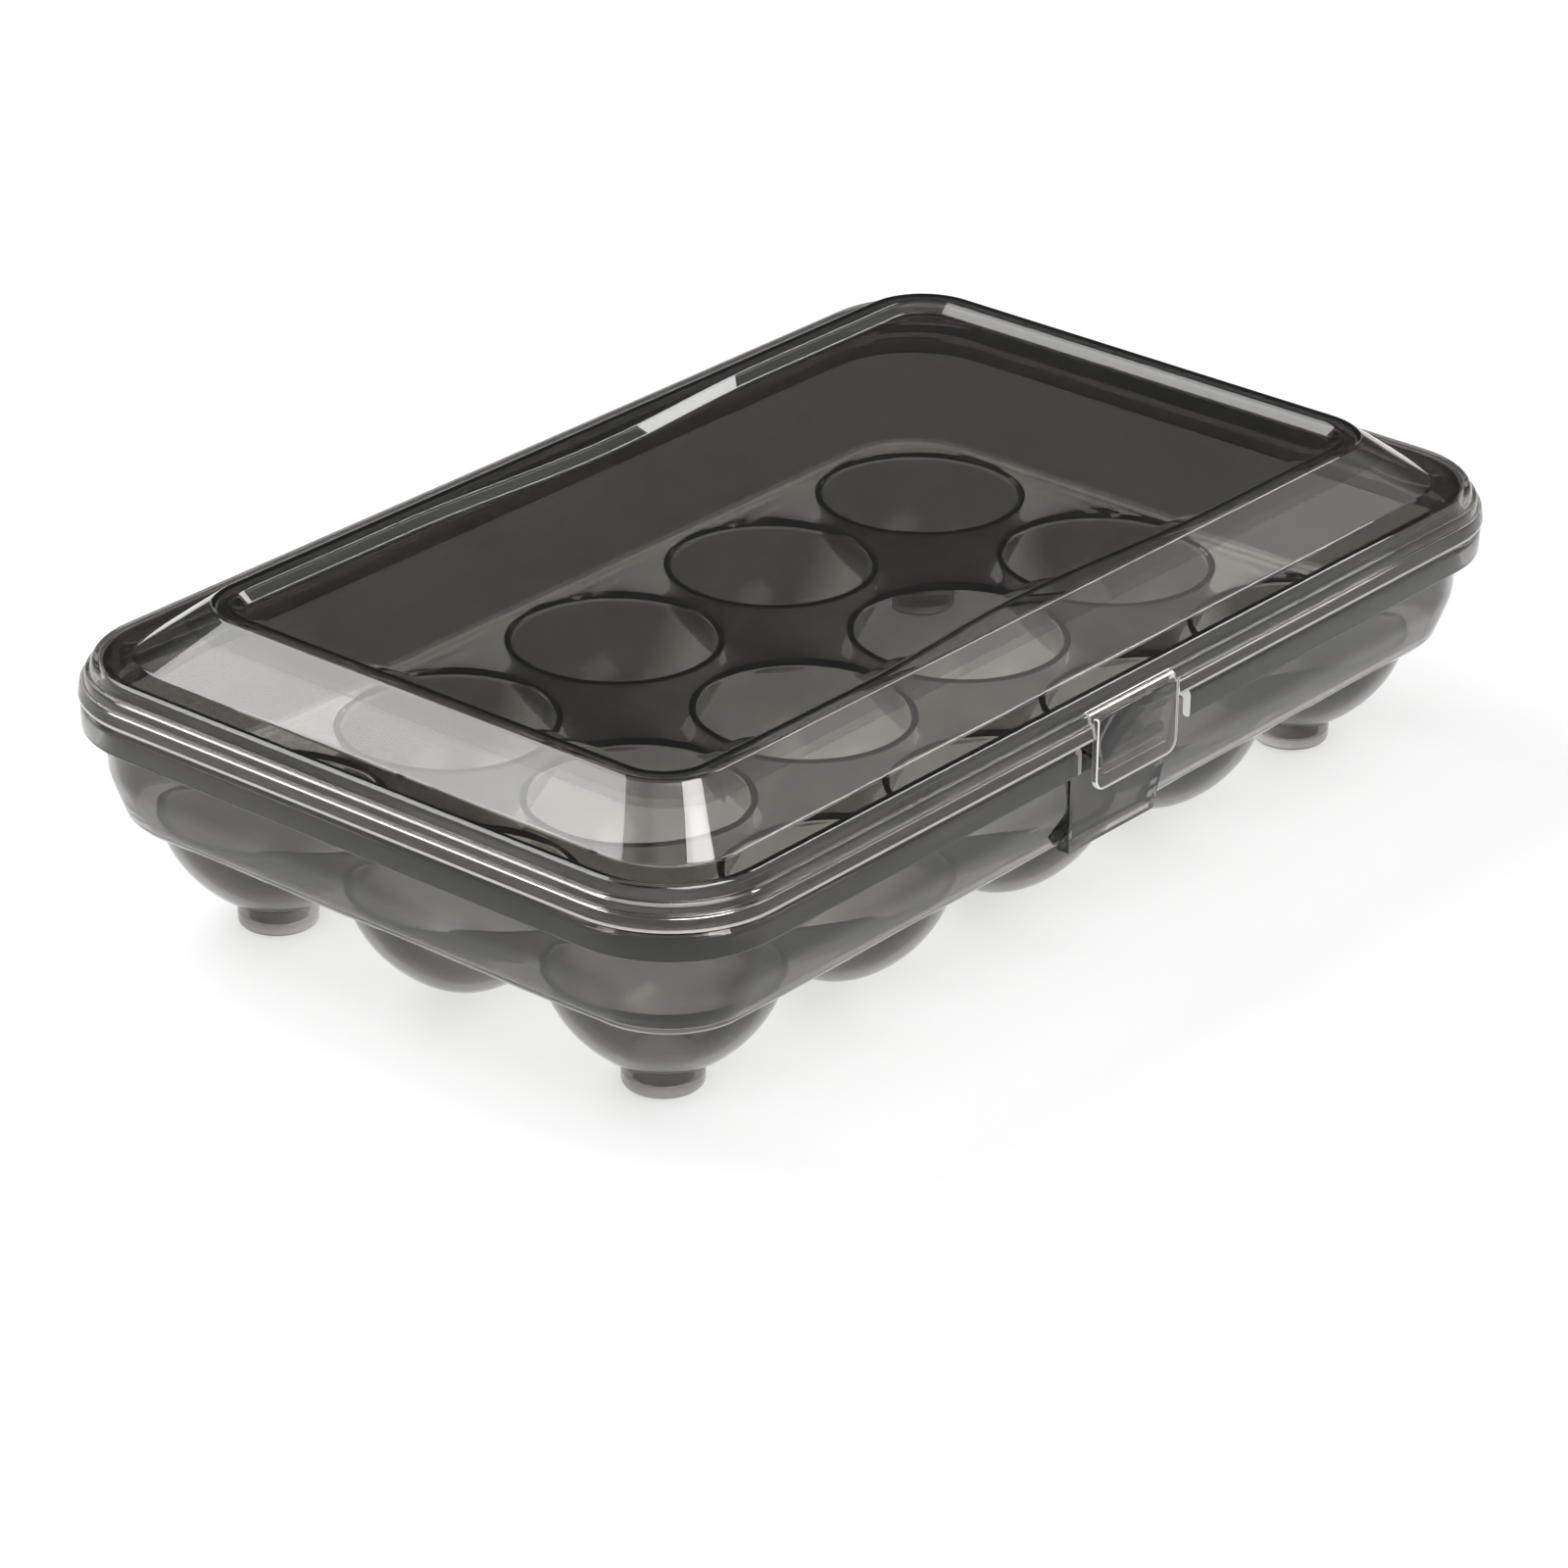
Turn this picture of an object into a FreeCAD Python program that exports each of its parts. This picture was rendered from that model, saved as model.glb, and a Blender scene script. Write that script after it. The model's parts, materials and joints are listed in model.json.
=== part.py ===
import FreeCAD, Part
import math
import os

"""Covered egg tray: a moulded tray of round egg cups and a lift-off lid with a snap tab.

Units are millimetres.  +X runs along the long side, +Y across, +Z up.  The origin is
the centre of the footprint, on the plane of the undersides of the feet.

Outlines are rounded rectangles round the axes of the four corner cups.  Each one is
given by its margin outside those axes and its corner radius.
"""

V = FreeCAD.Vector

# Cup grid
CUP_COLUMNS = 5
CUP_ROWS = 3
CUP_PITCH = 52.0
CUP_MOUTH_RADIUS = 22.0
CUP_DEPTH = 24.0          # deck top to the outside of a cup's bottom
CUP_ROUNDNESS = 1.65      # power of the cup's profile: 2 is an ellipse, less is more pointed
PROFILE_STEPS = 8

# Walls and clearances
TRAY_WALL = 1.8
LID_WALL = 1.4
REST_GAP = 0.3            # between the lid and what it rests on
TAB_GAP = 0.4             # slits round the tab, and tab to tray
HOOK_GAP = 0.2            # tip of the tab's bead to the tip of its catch

# Feet, under the four corner cups
FOOT_DROP = 3.0           # cup bottoms above the surface the feet stand on
FOOT_RADIUS = 8.4
FOOT_EDGE = 1.2

# Tray: height above the deck, margin and corner radius of each outline of the wall
WALL_OUTLINES = [(-TRAY_WALL, 25.4, 18.0), (0.0, 27.0, 19.0), (9.0, 30.3, 22.5), (23.0, 31.2, 24.0)]
RIM_MARGIN = 34.8
RIM_RADIUS = 25.4
RIM_BAND = 6.0            # height of the rim's outer band
UPSTAND_MARGIN = 30.2
UPSTAND_RADIUS = 21.0
UPSTAND_HEIGHT = 7.1      # above the rim

# Lid: skirt bands from the bottom up, as height of the lower edge above the rim, margin
# at the lower edge and margin at the upper edge
SKIRT_BANDS = [(0.4, 35.3, 34.6), (3.9, 33.8, 33.5), (6.0, 32.6, 32.1)]
SKIRT_BASE_RADIUS = 25.7  # corner radius at the lower edge of the lowest band
FLANGE_MARGIN = 24.6      # where the slanted wall leaves the flange
FLANGE_RADIUS = 16.0
CREST_MARGIN = 13.0
CREST_RADIUS = 12.0
LID_RISE = 10.4           # top of the flange to the crest
CREST_BEVEL = 0.8
LAND_WIDTH = 3.6          # flat crest round the recess
RECESS_SLOPE = 2.6        # width of the sloping step into the recess
RECESS_DEPTH = 2.0
BOW_DEPTH = 3.0           # how far the recess bows in at the middle of a long side
BOW_HALF_LENGTH = 58.0

# Snap tab and its catch, at the middle of the front long side
TAB_WIDTH = 27.0
TAB_ROOT = 4.7            # root of the tab above the rim
TAB_REACH = 11.5          # tip of the tab below the rim
TAB_TIP_RADIUS = 3.0
BEAD_HEIGHT = 1.8
BEAD_PROUD = 0.4
CATCH_WIDTH = 36.0
CATCH_TAPER = 4.0         # how much narrower each side is at the bottom
CATCH_TOP_MARGIN = 32.2
CATCH_BOTTOM_MARGIN = 29.4
RIDGE_WIDTH = 20.0
RIDGE_HEIGHT = 1.6
RIDGE_DROP = 6.2          # underside of the ridge below the rim's top

# Derived sizes
CUP_OUTER_RADIUS = CUP_MOUTH_RADIUS + TRAY_WALL
AXIS_X = CUP_PITCH * (CUP_COLUMNS - 1) / 2
AXIS_Y = CUP_PITCH * (CUP_ROWS - 1) / 2
DECK_TOP = FOOT_DROP + CUP_DEPTH
DECK_BOTTOM = DECK_TOP - TRAY_WALL
RIM_BOTTOM = DECK_TOP + WALL_OUTLINES[-1][0]
RIM_TOP = RIM_BOTTOM + TRAY_WALL
UPSTAND_TOP = RIM_TOP + UPSTAND_HEIGHT
FLANGE_BOTTOM = UPSTAND_TOP + REST_GAP
FLANGE_TOP = FLANGE_BOTTOM + LID_WALL
CREST_TOP = FLANGE_TOP + LID_RISE
PANEL_TOP = CREST_TOP - RECESS_DEPTH
TAB_MARGIN = SKIRT_BANDS[0][1]
TAB_TOP = RIM_TOP + TAB_ROOT
TAB_TIP = RIM_TOP - TAB_REACH
RIDGE_BOTTOM = RIM_TOP - RIDGE_DROP
RIDGE_MARGIN = TAB_MARGIN - LID_WALL - BEAD_PROUD - HOOK_GAP


def outline(margin, radius, z):
    """Closed wire: a rounded rectangle a margin outside the corner cups' axes."""
    x, y = AXIS_X + margin, AXIS_Y + margin
    diagonal = radius * math.sqrt(0.5)
    edges = []
    corners = [(1, 1), (-1, 1), (-1, -1), (1, -1)]
    for number, (sx, sy) in enumerate(corners):
        cx, cy = sx * (x - radius), sy * (y - radius)
        along_x, along_y = V(cx, sy * y, z), V(sx * x, cy, z)
        middle = V(cx + sx * diagonal, cy + sy * diagonal, z)
        first, last = (along_y, along_x) if number % 2 == 0 else (along_x, along_y)
        edges.append(Part.Arc(first, middle, last).toShape())
        nx, ny = corners[(number + 1) % 4]
        if number % 2 == 0:
            following = V(nx * (x - radius), ny * y, z)
        else:
            following = V(nx * x, ny * (y - radius), z)
        edges.append(Part.LineSegment(last, following).toShape())
    return Part.Wire(edges)


def frustum(lower, upper):
    """Solid between two outlines, each a (margin, radius, z)."""
    return Part.makeLoft([outline(*lower), outline(*upper)], True, True)


def prism(margin, radius, bottom, top):
    """Straight-sided solid with a rounded-rectangle outline."""
    return Part.Face(outline(margin, radius, bottom)).extrude(V(0, 0, top - bottom))


def joined(solids):
    """One solid from solids that share faces or overlap."""
    shape = solids[0]
    for solid in solids[1:]:
        shape = shape.fuse(solid)
    return shape.removeSplitter()


def block(width, y_low, y_high, z_low, z_high):
    """Box centred on X."""
    return Part.makeBox(width, y_high - y_low, z_high - z_low, V(-width / 2, y_low, z_low))


# Tray

def cup_curve(radius, depth, floor_radius):
    """Half profile of a cup from its mouth down to floor_radius, as a smooth curve."""
    def height(r):
        return DECK_BOTTOM - depth * (1 - (r / radius) ** CUP_ROUNDNESS) ** (1 / CUP_ROUNDNESS)

    lowest = math.acos((floor_radius / radius) ** (CUP_ROUNDNESS / 2))
    points = []
    for step in range(PROFILE_STEPS + 1):
        r = radius * math.cos(lowest * step / PROFILE_STEPS) ** (2 / CUP_ROUNDNESS)
        points.append(V(r, 0, height(r)))
    curve = Part.BSplineCurve()
    curve.interpolate(points)
    return curve.toShape(), points[0], points[-1]


def bowl_solid(radius, depth, top):
    """Solid of revolution under a cup's profile, straight-sided from the deck's underside up."""
    side, mouth, bottom = cup_curve(radius, depth, 0.0)
    rim = V(mouth.x, 0, top)
    centre = V(0, 0, top)
    edges = [side, Part.LineSegment(bottom, centre).toShape()]
    edges.append(Part.LineSegment(centre, rim).toShape())
    edges.append(Part.LineSegment(rim, mouth).toShape())
    face = Part.Face(Part.Wire(edges))
    return face.revolve(V(0, 0, 0), V(0, 0, 1), 360)


def egg_cup(with_foot):
    """One cup on the Z axis: a rounded bowl, with a hollow round foot if asked for."""
    depth = DECK_BOTTOM - FOOT_DROP
    cup = bowl_solid(CUP_OUTER_RADIUS, depth, DECK_TOP)
    hollow = bowl_solid(CUP_MOUTH_RADIUS, depth - TRAY_WALL, DECK_TOP)
    if with_foot:
        foot = Part.makeCylinder(FOOT_RADIUS, DECK_BOTTOM / 2)
        rims = [edge for edge in foot.Edges if len(edge.Vertexes) == 1]
        low_edge = [edge for edge in rims if edge.CenterOfMass.z < FOOT_EDGE]
        foot = foot.makeFillet(FOOT_EDGE, low_edge)
        pocket = Part.makeCylinder(FOOT_RADIUS - TRAY_WALL, DECK_BOTTOM, V(0, 0, TRAY_WALL))
        cup = cup.fuse(foot)
        hollow = hollow.fuse(pocket)
    return cup.cut(hollow).removeSplitter()


def cup_places():
    """Name, place and whether it is a corner, for each cup of the grid."""
    for row in range(CUP_ROWS):
        for column in range(CUP_COLUMNS):
            x = column * CUP_PITCH - AXIS_X
            y = row * CUP_PITCH - AXIS_Y
            corner = row in (0, CUP_ROWS - 1) and column in (0, CUP_COLUMNS - 1)
            yield "cup_r%d_c%d" % (row + 1, column + 1), V(x, y, 0), corner


def tray_deck():
    """Flat deck with a bevelled outer edge and a round hole for each cup."""
    (low, low_margin, low_radius), (high, high_margin, high_radius) = WALL_OUTLINES[:2]
    deck = frustum((low_margin, low_radius, DECK_TOP + low), (high_margin, high_radius, DECK_TOP + high))
    for _, place, _ in cup_places():
        deck = deck.cut(Part.makeCylinder(CUP_OUTER_RADIUS, TRAY_WALL, V(place.x, place.y, DECK_BOTTOM)))
    return deck


def wall_body(inset):
    """Filled solid inside the tray's wall, a given distance inside its outer face."""
    stages = []
    for lower_outline, upper_outline in zip(WALL_OUTLINES, WALL_OUTLINES[1:]):
        low, low_margin, low_radius = lower_outline
        high, high_margin, high_radius = upper_outline
        lower = (low_margin - inset, low_radius - inset, DECK_TOP + low)
        upper = (high_margin - inset, high_radius - inset, DECK_TOP + high)
        stages.append(frustum(lower, upper))
    return joined(stages)


def catch_wedge(inset):
    """Filled wedge of the catch plate on the -Y side, an inset inside its faces."""
    top = -(AXIS_Y + CATCH_TOP_MARGIN - inset)
    bottom = -(AXIS_Y + CATCH_BOTTOM_MARGIN - inset)
    inside = -AXIS_Y
    half_top = CATCH_WIDTH / 2 - inset
    half_bottom = half_top - CATCH_TAPER
    floor = DECK_BOTTOM + inset
    lower = [V(-half_bottom, bottom, floor), V(half_bottom, bottom, floor)]
    lower += [V(half_bottom, inside, floor), V(-half_bottom, inside, floor)]
    upper = [V(-half_top, top, RIM_BOTTOM), V(half_top, top, RIM_BOTTOM)]
    upper += [V(half_top, inside, RIM_BOTTOM), V(-half_top, inside, RIM_BOTTOM)]
    wires = [Part.makePolygon(points + points[:1]) for points in (lower, upper)]
    return Part.makeLoft(wires, True, True)


def tray_wall():
    """Flared wall standing on the deck's edge, open behind the catch plate."""
    wall = wall_body(0.0).cut(wall_body(TRAY_WALL))
    wall = wall.cut(prism(RIM_MARGIN, RIM_RADIUS, DECK_BOTTOM, DECK_TOP))
    return wall.cut(catch_wedge(TRAY_WALL))


def tray_catch():
    """Bulged plate under the rim with the ridge that the tab snaps under."""
    plate = catch_wedge(0.0).cut(wall_body(0.0)).cut(catch_wedge(TRAY_WALL))
    ridge_low = -(AXIS_Y + RIDGE_MARGIN)
    ridge = block(RIDGE_WIDTH, ridge_low, -AXIS_Y, RIDGE_BOTTOM, RIDGE_BOTTOM + RIDGE_HEIGHT)
    ridge = ridge.cut(catch_wedge(0.0))
    return joined([plate, ridge])


def tray_rim():
    """Rim: a flat flange, its outer band and the upstand inside the lid's skirt."""
    _, inner_margin, inner_radius = WALL_OUTLINES[-1]
    inner_margin -= TRAY_WALL
    inner_radius -= TRAY_WALL
    band = prism(RIM_MARGIN, RIM_RADIUS, RIM_TOP - RIM_BAND, RIM_TOP)
    band = band.cut(prism(RIM_MARGIN - TRAY_WALL, RIM_RADIUS - TRAY_WALL, RIM_TOP - RIM_BAND, RIM_BOTTOM))
    notch_low = -(AXIS_Y + RIM_MARGIN)
    notch = block(CATCH_WIDTH, notch_low, -(AXIS_Y + CATCH_TOP_MARGIN), RIM_BOTTOM, RIM_TOP)
    notch = notch.fuse(block(CATCH_WIDTH, notch_low, -AXIS_Y, RIM_TOP - RIM_BAND, RIM_BOTTOM))
    upstand_inner = (UPSTAND_MARGIN - TRAY_WALL, UPSTAND_RADIUS - TRAY_WALL)
    rim = band.cut(notch).fuse(prism(UPSTAND_MARGIN, UPSTAND_RADIUS, RIM_BOTTOM, UPSTAND_TOP))
    hollow = prism(*upstand_inner, RIM_BOTTOM, UPSTAND_TOP)
    hollow = hollow.fuse(prism(inner_margin, inner_radius, RIM_BOTTOM, RIM_BOTTOM + TRAY_WALL / 2))
    return rim.cut(hollow).removeSplitter()


# Lid

def skirt_body(inset):
    """Filled solid inside the lid's stepped skirt, a given distance inside its outer face."""
    stages = []
    base_margin = SKIRT_BANDS[0][1]
    heights = [RIM_TOP + height for height, _, _ in SKIRT_BANDS] + [FLANGE_TOP]
    for number, (_, low, high) in enumerate(SKIRT_BANDS):
        lower = (low - inset, SKIRT_BASE_RADIUS - base_margin + low - inset, heights[number])
        upper = (high - inset, SKIRT_BASE_RADIUS - base_margin + high - inset, heights[number + 1])
        stages.append(frustum(lower, upper))
    return joined(stages)


def lid_skirt():
    """Flat flange and stepped skirt, with an opening round the tab."""
    inner = skirt_body(LID_WALL).common(prism(SKIRT_BANDS[0][1], SKIRT_BASE_RADIUS, 0, FLANGE_BOTTOM))
    skirt = skirt_body(0.0).cut(inner)
    skirt = skirt.cut(prism(FLANGE_MARGIN, FLANGE_RADIUS, FLANGE_BOTTOM, FLANGE_TOP))
    slot_low = -(AXIS_Y + TAB_MARGIN + LID_WALL)
    slot = block(TAB_WIDTH + 2 * TAB_GAP, slot_low, -AXIS_Y, RIM_TOP, TAB_TOP + TAB_GAP)
    return skirt.cut(slot)


def lid_wall():
    """Slanted wall from the flange up to the bevelled crest."""
    bevel_z = CREST_TOP - CREST_BEVEL
    slope = (FLANGE_MARGIN - CREST_MARGIN) / LID_RISE
    foot = (FLANGE_MARGIN, FLANGE_RADIUS, FLANGE_BOTTOM)
    step = (FLANGE_MARGIN, FLANGE_RADIUS, FLANGE_TOP)
    shoulder = (CREST_MARGIN, CREST_RADIUS, bevel_z)
    crest = (CREST_MARGIN - CREST_BEVEL, CREST_RADIUS - CREST_BEVEL, CREST_TOP)
    outer = joined([frustum(foot, step), frustum(step, shoulder), frustum(shoulder, crest)])
    across = LID_WALL * math.sqrt(1 + slope ** 2)
    inner_low = (FLANGE_MARGIN - across + slope * LID_WALL, FLANGE_RADIUS - LID_WALL, FLANGE_BOTTOM)
    inner_top_z = CREST_TOP - LID_WALL
    inner_top = (CREST_MARGIN - across + LID_WALL / 2, CREST_RADIUS - LID_WALL, inner_top_z)
    wall = outer.cut(frustum(inner_low, inner_top))
    return wall.cut(recess_body(0.0, CREST_TOP, FLANGE_TOP))


def bowed_outline(margin, radius, z):
    """Rounded rectangle whose long sides bow inwards smoothly at the middle."""
    x, y = AXIS_X + margin, AXIS_Y + margin
    diagonal = radius * math.sqrt(0.5)
    edges = []
    for turn in (1, -1):
        right, left = turn * (x - radius), -turn * (x - radius)
        bow_points = []
        for step in range(-4, 5):
            bow = BOW_DEPTH * (1 + math.cos(math.pi * step / 4)) / 2
            bow_points.append(V(-turn * step * BOW_HALF_LENGTH / 4, turn * (y - bow), z))
        bow_curve = Part.BSplineCurve()
        bow_curve.interpolate(bow_points, InitialTangent=V(-turn, 0, 0), FinalTangent=V(-turn, 0, 0))
        edges.append(Part.LineSegment(V(right, turn * y, z), bow_points[0]).toShape())
        edges.append(bow_curve.toShape())
        edges.append(Part.LineSegment(bow_points[-1], V(left, turn * y, z)).toShape())
        middle = V(left - turn * diagonal, turn * (y - radius + diagonal), z)
        edges.append(Part.Arc(V(left, turn * y, z), middle, V(-turn * x, turn * (y - radius), z)).toShape())
        short_from, short_to = V(-turn * x, turn * (y - radius), z), V(-turn * x, -turn * (y - radius), z)
        edges.append(Part.LineSegment(short_from, short_to).toShape())
        low = V(left - turn * diagonal, -turn * (y - radius + diagonal), z)
        edges.append(Part.Arc(V(-turn * x, -turn * (y - radius), z), low, V(left, -turn * y, z)).toShape())
    return Part.Wire(edges)


def recess_body(inset, top, bottom):
    """Filled solid inside the edge of the top panel's recess."""
    margin = CREST_MARGIN - CREST_BEVEL - LAND_WIDTH - inset
    radius = CREST_RADIUS - CREST_BEVEL - LAND_WIDTH - inset
    return Part.Face(bowed_outline(margin, radius, bottom)).extrude(V(0, 0, top - bottom))


def lid_panel():
    """Recessed top panel with the sloping step round it."""
    edge_margin = CREST_MARGIN - CREST_BEVEL - LAND_WIDTH
    edge_radius = CREST_RADIUS - CREST_BEVEL - LAND_WIDTH
    upper = bowed_outline(edge_margin, edge_radius, CREST_TOP)
    lower = bowed_outline(edge_margin - RECESS_SLOPE, edge_radius - RECESS_SLOPE, PANEL_TOP)
    scoop = Part.makeLoft([lower, upper], True, True)
    body = recess_body(0.0, CREST_TOP, PANEL_TOP - LID_WALL)
    return body.cut(scoop)


def lid_tab():
    """Springy tab below the skirt, with a snap bead inside its tip."""
    outer = -(AXIS_Y + TAB_MARGIN)
    inner = outer + LID_WALL
    tab = block(TAB_WIDTH, outer, inner, TAB_TIP, TAB_TOP)
    corners = []
    for edge in tab.Edges:
        centre = edge.CenterOfMass
        on_side = abs(abs(centre.x) - TAB_WIDTH / 2) < 1e-6
        if on_side and abs(centre.z - TAB_TIP) < 1e-6:
            corners.append(edge)
    tab = tab.makeFillet(TAB_TIP_RADIUS, corners)
    bead_top = RIDGE_BOTTOM - TAB_GAP
    bead = block(RIDGE_WIDTH, inner, inner + BEAD_PROUD, bead_top - BEAD_HEIGHT, bead_top)
    return tab.fuse(bead).removeSplitter()


def build():
    """All the pieces, by name."""
    pieces = {"tray_deck": tray_deck(), "tray_wall": tray_wall(), "tray_rim": tray_rim()}
    pieces["tray_catch"] = tray_catch()
    plain, footed = egg_cup(False), egg_cup(True)
    for name, place, corner in cup_places():
        cup = (footed if corner else plain).copy()
        cup.translate(place)
        pieces[name] = cup
    pieces["lid_skirt"] = lid_skirt()
    pieces["lid_wall"] = lid_wall()
    pieces["lid_panel"] = lid_panel()
    pieces["lid_tab"] = lid_tab()
    return pieces


os.makedirs("parts", exist_ok=True)
for name, shape in build().items():
    box = shape.BoundBox
    print(name, len(shape.Solids), shape.isValid(), round(shape.Volume, 1),
          [round(v, 2) for v in (box.XMin, box.XMax, box.YMin, box.YMax, box.ZMin, box.ZMax)])
    shape.exportStep("parts/%s.step" % name)
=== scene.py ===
import json
import math

import bmesh
import bpy
from bpy.props import FloatProperty, FloatVectorProperty, PointerProperty
from mathutils import Matrix, Vector


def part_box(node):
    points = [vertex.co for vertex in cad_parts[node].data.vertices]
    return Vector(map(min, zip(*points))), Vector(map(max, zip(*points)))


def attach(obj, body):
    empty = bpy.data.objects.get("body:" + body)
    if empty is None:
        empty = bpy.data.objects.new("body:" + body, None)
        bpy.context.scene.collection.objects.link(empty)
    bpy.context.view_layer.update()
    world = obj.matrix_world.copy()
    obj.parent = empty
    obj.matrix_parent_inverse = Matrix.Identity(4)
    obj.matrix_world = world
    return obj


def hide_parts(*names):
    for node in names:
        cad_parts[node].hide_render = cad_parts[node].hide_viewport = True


bl_info = {
    "name": "Covered egg tray",
    "version": (1, 0, 0),
    "blender": (4, 5, 0),
    "location": "3D View > Sidebar > Egg Tray",
    "description": "Models a clear smoke-grey egg tray with a lift-off lid and a snap tab",
    "category": "Add Mesh",
}

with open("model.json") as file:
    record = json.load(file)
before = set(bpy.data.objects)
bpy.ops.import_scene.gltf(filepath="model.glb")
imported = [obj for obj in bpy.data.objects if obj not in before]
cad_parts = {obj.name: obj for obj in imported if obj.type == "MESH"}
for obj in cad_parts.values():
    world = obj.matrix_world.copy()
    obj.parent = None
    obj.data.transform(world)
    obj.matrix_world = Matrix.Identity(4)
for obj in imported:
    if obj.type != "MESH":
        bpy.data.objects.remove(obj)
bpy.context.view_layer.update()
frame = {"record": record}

MM = 0.001

# Fineness of the meshes
CORNER_STEPS = 14         # faces round each corner of an outline
CUP_SIDES = 80            # faces round each cup
CUP_STEPS = 14            # faces down a cup's side
SIDE_CUTS = 47            # cuts along each long side of the lid's outlines
FILLET_STEPS = 3
TOUCH = 1e-6              # points closer than this are one place
LOOP_TOUCH = 20 * TOUCH   # and this close to a round outline is on it
OVERHEAD = 0.5            # where a new loop waits until it is joined


def node_box(name):
    """Lowest and highest corner of a node of the frame."""
    low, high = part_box(name)
    return Vector(low), Vector(high)


# Places taken from the frame
CORNER_CUP = node_box("cup_r1_c1")
PLAIN_CUP = node_box("cup_r1_c2")
DECK = node_box("tray_deck")
WALL = node_box("tray_wall")
RIM = node_box("tray_rim")
SKIRT = node_box("lid_skirt")
PANEL = node_box("lid_panel")
TAB = node_box("lid_tab")
AXIS_X = -(CORNER_CUP[0].x + CORNER_CUP[1].x) / 2
AXIS_Y = -(CORNER_CUP[0].y + CORNER_CUP[1].y) / 2
CUP_OUTER_RADIUS = (CORNER_CUP[1].x - CORNER_CUP[0].x) / 2
DECK_BOTTOM, DECK_TOP = DECK[0].z, DECK[1].z
TRAY_WALL = DECK_TOP - DECK_BOTTOM
LID_WALL = 1.4 * MM
CUP_BOTTOM = PLAIN_CUP[0].z
CUP_PITCH = AXIS_X - (PLAIN_CUP[0].x + PLAIN_CUP[1].x) / -2
CUP_COLUMNS = round(2 * AXIS_X / CUP_PITCH) + 1
CUP_ROWS = round(2 * AXIS_Y / CUP_PITCH) + 1
CUP_ROUNDNESS = 1.65
FOOT_RADIUS = 8.4 * MM
RIM_BOTTOM = WALL[1].z
RIM_TOP = RIM_BOTTOM + TRAY_WALL
BAND_BOTTOM = RIM[0].z
UPSTAND_TOP = RIM[1].z
FLANGE_TOP = SKIRT[1].z
FLANGE_BOTTOM = FLANGE_TOP - LID_WALL
CREST_TOP = PANEL[1].z
PANEL_BOTTOM = PANEL[0].z
PANEL_TOP = PANEL_BOTTOM + LID_WALL
TAB_TIP, TAB_TOP = TAB[0].z, TAB[1].z
TAB_HALF = TAB[1].x
TAB_GAP = 0.4 * MM
RIM_MARGIN = RIM[1].x - AXIS_X
SKIRT_MARGIN = SKIRT[1].x - AXIS_X
SKIRT_BOTTOM = SKIRT[0].z

# Catch and snap tab
CATCH_HALF = 18 * MM          # half widths of the catch plate, at its top and bottom
CATCH_LOW_HALF = 14 * MM
CATCH_MARGIN = 32.2 * MM      # its face outside the corner cups' axes, at its top and bottom
CATCH_LOW_MARGIN = 29.4 * MM
RIDGE_HALF = 10 * MM          # half width of the ridge and of the bead under it
RIDGE_LOW = RIM_TOP - 6.2 * MM
RIDGE_HEIGHT = 1.6 * MM
BEAD_HEIGHT = 1.8 * MM

# Lid
BOW_HALF_LENGTH = 58 * MM     # the recess's long edges bow in over this much each way
BOW_DEPTH = 3 * MM
SHARP_ANGLE = math.radians(30)


# Selecting and joining, in edit mode

def start_edit():
    """Opens the active object's mesh for editing with nothing selected."""
    bpy.ops.object.mode_set(mode="EDIT")
    bpy.ops.mesh.select_mode(type="VERT")
    bpy.ops.mesh.select_all(action="DESELECT")


def end_edit():
    """Closes the mesh."""
    bpy.ops.object.mode_set(mode="OBJECT")


def select_points(wanted):
    """Selects the vertices for which wanted(co) is true, and the edges and faces between them."""
    bpy.ops.mesh.select_all(action="DESELECT")
    mesh = bmesh.from_edit_mesh(bpy.context.edit_object.data)
    for vertex in mesh.verts:
        if wanted(vertex.co):
            vertex.select_set(True)
    mesh.select_flush(True)
    bmesh.update_edit_mesh(bpy.context.edit_object.data)


def on_outline(margin, corner, z):
    """Test for lying on a rounded-rectangle outline."""
    inner_x, inner_y = AXIS_X + margin - corner, AXIS_Y + margin - corner

    def test(co):
        if abs(co.z - z) > TOUCH:
            return False
        dx, dy = abs(co.x) - inner_x, abs(co.y) - inner_y
        if dx > 0 and dy > 0:
            return abs(math.hypot(dx, dy) - corner) < LOOP_TOUCH
        return abs(max(dx, dy) - corner) < LOOP_TOUCH
    return test


def on_circle(radius, z):
    """Test for lying on a circle round the Z axis."""
    return lambda co: abs(co.z - z) < TOUCH and abs(math.hypot(co.x, co.y) - radius) < LOOP_TOUCH


def either(first, second):
    """Test that passes where one of two tests does."""
    return lambda co: first(co) or second(co)


def fresh_object(name):
    """A new object started from a plane, whose face is then cleared."""
    bpy.ops.object.select_all(action="DESELECT")
    bpy.ops.mesh.primitive_plane_add(size=MM)
    piece = bpy.context.active_object
    piece.name = name
    piece.data.name = name
    start_edit()
    bpy.ops.mesh.select_all(action="SELECT")
    bpy.ops.mesh.delete(type="VERT")
    return piece


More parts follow.
